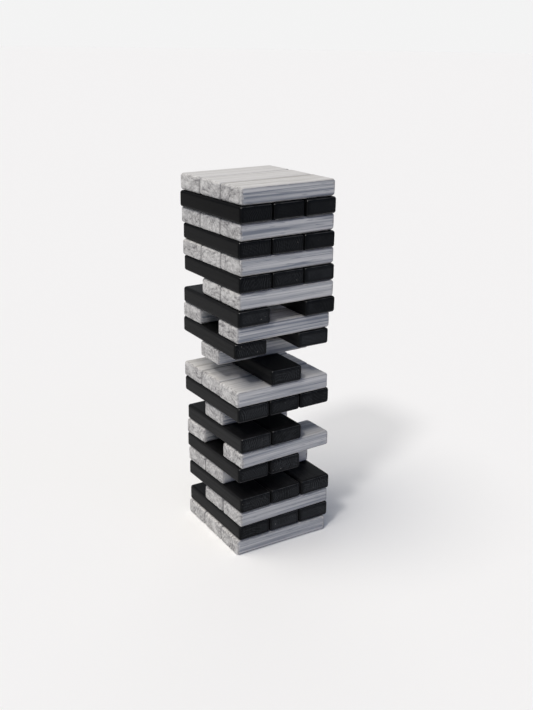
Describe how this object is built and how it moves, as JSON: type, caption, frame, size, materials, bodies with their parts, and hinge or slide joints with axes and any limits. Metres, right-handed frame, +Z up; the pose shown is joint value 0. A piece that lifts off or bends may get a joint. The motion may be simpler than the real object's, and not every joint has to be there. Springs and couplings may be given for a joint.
{
  "type": "giant tumbling tower",
  "caption": "Tall stacking game of loose rounded wooden blocks, three to a level, each level laid across the last in alternate grey and black stain, with some pushed out.",
  "frame": {"origin": "on the ground, at the middle of the tower's footprint", "axes": "+Z up the tower; X along the grey blocks; Y along the black blocks; -Y is the front, where the black blocks' ends and the grey blocks' long sides show"},
  "size_m": [0.2738, 0.2686, 0.8783],
  "materials": {
    "grey_stain": "matt grey-white wash on softwood, with streaked grain along the block and mottled end grain",
    "black_stain": "satin black stain on softwood, with faint saw marks across the ends"
  },
  "bodies": {
    "level_01_grey_near": {"level_01_grey_near": "grey_stain"},
    "level_01_grey_middle": {"level_01_grey_middle": "grey_stain"},
    "level_01_grey_far": {"level_01_grey_far": "grey_stain"},
    "level_02_black_left": {"level_02_black_left": "black_stain"},
    "level_02_black_middle": {"level_02_black_middle": "black_stain"},
    "level_02_black_right": {"level_02_black_right": "black_stain"},
    "level_03_grey_near": {"level_03_grey_near": "grey_stain"},
    "level_03_grey_middle": {"level_03_grey_middle": "grey_stain"},
    "level_04_black_left": {"level_04_black_left": "black_stain"},
    "level_04_black_middle": {"level_04_black_middle": "black_stain"},
    "level_04_black_right": {"level_04_black_right": "black_stain"},
    "level_05_grey_middle": {"level_05_grey_middle": "grey_stain"},
    "level_05_grey_far": {"level_05_grey_far": "grey_stain"},
    "level_06_black_left": {"level_06_black_left": "black_stain"},
    "level_06_black_middle": {"level_06_black_middle": "black_stain"},
    "level_07_grey_near": {"level_07_grey_near": "grey_stain"},
    "level_07_grey_far": {"level_07_grey_far": "grey_stain"},
    "level_08_black_left": {"level_08_black_left": "black_stain"},
    "level_08_black_middle": {"level_08_black_middle": "black_stain"},
    "level_09_grey_middle": {"level_09_grey_middle": "grey_stain"},
    "level_10_black_left": {"level_10_black_left": "black_stain"},
    "level_10_black_middle": {"level_10_black_middle": "black_stain"},
    "level_10_black_right": {"level_10_black_right": "black_stain"},
    "level_11_grey_near": {"level_11_grey_near": "grey_stain"},
    "level_11_grey_middle": {"level_11_grey_middle": "grey_stain"},
    "level_11_grey_far": {"level_11_grey_far": "grey_stain"},
    "level_12_black_middle": {"level_12_black_middle": "black_stain"},
    "level_13_grey_middle": {"level_13_grey_middle": "grey_stain"},
    "level_14_black_left": {"level_14_black_left": "black_stain"},
    "level_14_black_right": {"level_14_black_right": "black_stain"},
    "level_15_grey_near": {"level_15_grey_near": "grey_stain"},
    "level_15_grey_far": {"level_15_grey_far": "grey_stain"},
    "level_16_black_left": {"level_16_black_left": "black_stain"},
    "level_16_black_right": {"level_16_black_right": "black_stain"},
    "level_17_grey_near": {"level_17_grey_near": "grey_stain"},
    "level_17_grey_middle": {"level_17_grey_middle": "grey_stain"},
    "level_18_black_left": {"level_18_black_left": "black_stain"},
    "level_18_black_middle": {"level_18_black_middle": "black_stain"},
    "level_18_black_right": {"level_18_black_right": "black_stain"},
    "level_19_grey_near": {"level_19_grey_near": "grey_stain"},
    "level_19_grey_middle": {"level_19_grey_middle": "grey_stain"},
    "level_19_grey_far": {"level_19_grey_far": "grey_stain"},
    "level_20_black_left": {"level_20_black_left": "black_stain"},
    "level_20_black_middle": {"level_20_black_middle": "black_stain"},
    "level_20_black_right": {"level_20_black_right": "black_stain"},
    "level_21_grey_near": {"level_21_grey_near": "grey_stain"},
    "level_21_grey_middle": {"level_21_grey_middle": "grey_stain"},
    "level_21_grey_far": {"level_21_grey_far": "grey_stain"},
    "level_22_black_left": {"level_22_black_left": "black_stain"},
    "level_22_black_middle": {"level_22_black_middle": "black_stain"},
    "level_22_black_right": {"level_22_black_right": "black_stain"},
    "level_23_grey_near": {"level_23_grey_near": "grey_stain"},
    "level_23_grey_middle": {"level_23_grey_middle": "grey_stain"},
    "level_23_grey_far": {"level_23_grey_far": "grey_stain"}
  },
  "joints": [
    {"name": "level_01_grey_near_slide", "type": "slide", "parent": "level_01_grey_middle", "child": "level_01_grey_near", "axis": [0.9994, -0.0349, 0], "range_m": [-0.275, 0.275]},
    {"name": "level_01_grey_far_slide", "type": "slide", "parent": "level_01_grey_middle", "child": "level_01_grey_far", "axis": [0.9994, -0.0349, 0], "range_m": [-0.275, 0.275]},
    {"name": "level_02_black_left_slide", "type": "slide", "parent": "level_01_grey_middle", "child": "level_02_black_left", "axis": [0.0209, 0.9998, 0], "range_m": [-0.275, 0.275]},
    {"name": "level_02_black_middle_slide", "type": "slide", "parent": "level_01_grey_middle", "child": "level_02_black_middle", "axis": [0.0209, 0.9998, 0], "range_m": [-0.275, 0.275]},
    {"name": "level_02_black_right_slide", "type": "slide", "parent": "level_01_grey_middle", "child": "level_02_black_right", "axis": [0.0209, 0.9998, 0], "range_m": [-0.275, 0.275]},
    {"name": "level_03_grey_near_slide", "type": "slide", "parent": "level_01_grey_middle", "child": "level_03_grey_near", "axis": [1, -0.0087, 0], "range_m": [-0.275, 0.275]},
    {"name": "level_03_grey_middle_slide", "type": "slide", "parent": "level_01_grey_middle", "child": "level_03_grey_middle", "axis": [1, -0.0087, 0], "range_m": [-0.275, 0.275]},
    {"name": "level_04_black_left_slide", "type": "slide", "parent": "level_01_grey_middle", "child": "level_04_black_left", "axis": [0.0035, 1, 0], "range_m": [-0.275, 0.275]},
    {"name": "level_04_black_middle_slide", "type": "slide", "parent": "level_01_grey_middle", "child": "level_04_black_middle", "axis": [0.0035, 1, 0], "range_m": [-0.275, 0.275]},
    {"name": "level_04_black_right_slide", "type": "slide", "parent": "level_01_grey_middle", "child": "level_04_black_right", "axis": [0.0035, 1, 0], "range_m": [-0.275, 0.275]},
    {"name": "level_05_grey_middle_slide", "type": "slide", "parent": "level_01_grey_middle", "child": "level_05_grey_middle", "axis": [1, 0, 0], "range_m": [-0.275, 0.275]},
    {"name": "level_05_grey_far_slide", "type": "slide", "parent": "level_01_grey_middle", "child": "level_05_grey_far", "axis": [1, 0, 0], "range_m": [-0.275, 0.275]},
    {"name": "level_06_black_left_slide", "type": "slide", "parent": "level_01_grey_middle", "child": "level_06_black_left", "axis": [0.0122, 0.9999, 0], "range_m": [-0.275, 0.275]},
    {"name": "level_06_black_middle_slide", "type": "slide", "parent": "level_01_grey_middle", "child": "level_06_black_middle", "axis": [0.0122, 0.9999, 0], "range_m": [-0.275, 0.275]},
    {"name": "level_07_grey_near_slide", "type": "slide", "parent": "level_01_grey_middle", "child": "level_07_grey_near", "axis": [0.9996, 0.0279, 0], "range_m": [-0.275, 0.275]},
    {"name": "level_07_grey_far_slide", "type": "slide", "parent": "level_01_grey_middle", "child": "level_07_grey_far", "axis": [0.9996, 0.0279, 0], "range_m": [-0.275, 0.275]},
    {"name": "level_08_black_left_slide", "type": "slide", "parent": "level_01_grey_middle", "child": "level_08_black_left", "axis": [-0.0087, 1, 0], "range_m": [-0.275, 0.275]},
    {"name": "level_08_black_middle_slide", "type": "slide", "parent": "level_01_grey_middle", "child": "level_08_black_middle", "axis": [-0.0087, 1, 0], "range_m": [-0.275, 0.275]},
    {"name": "level_09_grey_middle_slide", "type": "slide", "parent": "level_01_grey_middle", "child": "level_09_grey_middle", "axis": [1, 0, 0], "range_m": [-0.275, 0.275]},
    {"name": "level_10_black_left_slide", "type": "slide", "parent": "level_01_grey_middle", "child": "level_10_black_left", "axis": [0, 1, 0], "range_m": [-0.275, 0.275]},
    {"name": "level_10_black_middle_slide", "type": "slide", "parent": "level_01_grey_middle", "child": "level_10_black_middle", "axis": [0, 1, 0], "range_m": [-0.275, 0.275]},
    {"name": "level_10_black_right_slide", "type": "slide", "parent": "level_01_grey_middle", "child": "level_10_black_right", "axis": [0, 1, 0], "range_m": [-0.275, 0.275]},
    {"name": "level_11_grey_near_slide", "type": "slide", "parent": "level_01_grey_middle", "child": "level_11_grey_near", "axis": [1, -0.0035, 0], "range_m": [-0.275, 0.275]},
    {"name": "level_11_grey_middle_slide", "type": "slide", "parent": "level_01_grey_middle", "child": "level_11_grey_middle", "axis": [1, -0.0035, 0], "range_m": [-0.275, 0.275]},
    {"name": "level_11_grey_far_slide", "type": "slide", "parent": "level_01_grey_middle", "child": "level_11_grey_far", "axis": [1, -0.0035, 0], "range_m": [-0.275, 0.275]},
    {"name": "level_12_black_middle_slide", "type": "slide", "parent": "level_01_grey_middle", "child": "level_12_black_middle", "axis": [0.0087, 1, 0], "range_m": [-0.275, 0.275]},
    {"name": "level_13_grey_middle_slide", "type": "slide", "parent": "level_01_grey_middle", "child": "level_13_grey_middle", "axis": [0.9998, -0.0175, 0], "range_m": [-0.275, 0.275]},
    {"name": "level_14_black_left_slide", "type": "slide", "parent": "level_01_grey_middle", "child": "level_14_black_left", "axis": [0.0297, 0.9996, 0], "range_m": [-0.275, 0.275]},
    {"name": "level_14_black_right_slide", "type": "slide", "parent": "level_01_grey_middle", "child": "level_14_black_right", "axis": [0.0297, 0.9996, 0], "range_m": [-0.275, 0.275]},
    {"name": "level_15_grey_near_slide", "type": "slide", "parent": "level_01_grey_middle", "child": "level_15_grey_near", "axis": [1, -0.0017, 0], "range_m": [-0.275, 0.275]},
    {"name": "level_15_grey_far_slide", "type": "slide", "parent": "level_01_grey_middle", "child": "level_15_grey_far", "axis": [1, -0.0017, 0], "range_m": [-0.275, 0.275]},
    {"name": "level_16_black_left_slide", "type": "slide", "parent": "level_01_grey_middle", "child": "level_16_black_left", "axis": [0.0035, 1, 0], "range_m": [-0.275, 0.275]},
    {"name": "level_16_black_right_slide", "type": "slide", "parent": "level_01_grey_middle", "child": "level_16_black_right", "axis": [0.0035, 1, 0], "range_m": [-0.275, 0.275]},
    {"name": "level_17_grey_near_slide", "type": "slide", "parent": "level_01_grey_middle", "child": "level_17_grey_near", "axis": [0.9999, -0.0157, 0], "range_m": [-0.275, 0.275]},
    {"name": "level_17_grey_middle_slide", "type": "slide", "parent": "level_01_grey_middle", "child": "level_17_grey_middle", "axis": [0.9999, -0.0157, 0], "range_m": [-0.275, 0.275]},
    {"name": "level_18_black_left_slide", "type": "slide", "parent": "level_01_grey_middle", "child": "level_18_black_left", "axis": [0.0017, 1, 0], "range_m": [-0.275, 0.275]},
    {"name": "level_18_black_middle_slide", "type": "slide", "parent": "level_01_grey_middle", "child": "level_18_black_middle", "axis": [0.0017, 1, 0], "range_m": [-0.275, 0.275]},
    {"name": "level_18_black_right_slide", "type": "slide", "parent": "level_01_grey_middle", "child": "level_18_black_right", "axis": [0.0017, 1, 0], "range_m": [-0.275, 0.275]},
    {"name": "level_19_grey_near_slide", "type": "slide", "parent": "level_01_grey_middle", "child": "level_19_grey_near", "axis": [0.9999, 0.0157, 0], "range_m": [-0.275, 0.275]},
    {"name": "level_19_grey_middle_slide", "type": "slide", "parent": "level_01_grey_middle", "child": "level_19_grey_middle", "axis": [0.9999, 0.0157, 0], "range_m": [-0.275, 0.275]},
    {"name": "level_19_grey_far_slide", "type": "slide", "parent": "level_01_grey_middle", "child": "level_19_grey_far", "axis": [0.9999, 0.0157, 0], "range_m": [-0.275, 0.275]},
    {"name": "level_20_black_left_slide", "type": "slide", "parent": "level_01_grey_middle", "child": "level_20_black_left", "axis": [0.007, 1, 0], "range_m": [-0.275, 0.275]},
    {"name": "level_20_black_middle_slide", "type": "slide", "parent": "level_01_grey_middle", "child": "level_20_black_middle", "axis": [0.007, 1, 0], "range_m": [-0.275, 0.275]},
    {"name": "level_20_black_right_slide", "type": "slide", "parent": "level_01_grey_middle", "child": "level_20_black_right", "axis": [0.007, 1, 0], "range_m": [-0.275, 0.275]},
    {"name": "level_21_grey_near_slide", "type": "slide", "parent": "level_01_grey_middle", "child": "level_21_grey_near", "axis": [0.9998, 0.0192, 0], "range_m": [-0.275, 0.275]},
    {"name": "level_21_grey_middle_slide", "type": "slide", "parent": "level_01_grey_middle", "child": "level_21_grey_middle", "axis": [0.9998, 0.0192, 0], "range_m": [-0.275, 0.275]},
    {"name": "level_21_grey_far_slide", "type": "slide", "parent": "level_01_grey_middle", "child": "level_21_grey_far", "axis": [0.9998, 0.0192, 0], "range_m": [-0.275, 0.275]},
    {"name": "level_22_black_left_slide", "type": "slide", "parent": "level_01_grey_middle", "child": "level_22_black_left", "axis": [-0.0349, 0.9994, 0], "range_m": [-0.275, 0.275]},
    {"name": "level_22_black_middle_slide", "type": "slide", "parent": "level_01_grey_middle", "child": "level_22_black_middle", "axis": [-0.0349, 0.9994, 0], "range_m": [-0.275, 0.275]},
    {"name": "level_22_black_right_slide", "type": "slide", "parent": "level_01_grey_middle", "child": "level_22_black_right", "axis": [-0.0349, 0.9994, 0], "range_m": [-0.275, 0.275]},
    {"name": "level_23_grey_near_lift", "type": "slide", "parent": "level_01_grey_middle", "child": "level_23_grey_near", "axis": [0, 0, 1], "range_m": [0, 0.06]},
    {"name": "level_23_grey_middle_lift", "type": "slide", "parent": "level_01_grey_middle", "child": "level_23_grey_middle", "axis": [0, 0, 1], "range_m": [0, 0.06]},
    {"name": "level_23_grey_far_lift", "type": "slide", "parent": "level_01_grey_middle", "child": "level_23_grey_far", "axis": [0, 0, 1], "range_m": [0, 0.06]}
  ]
}
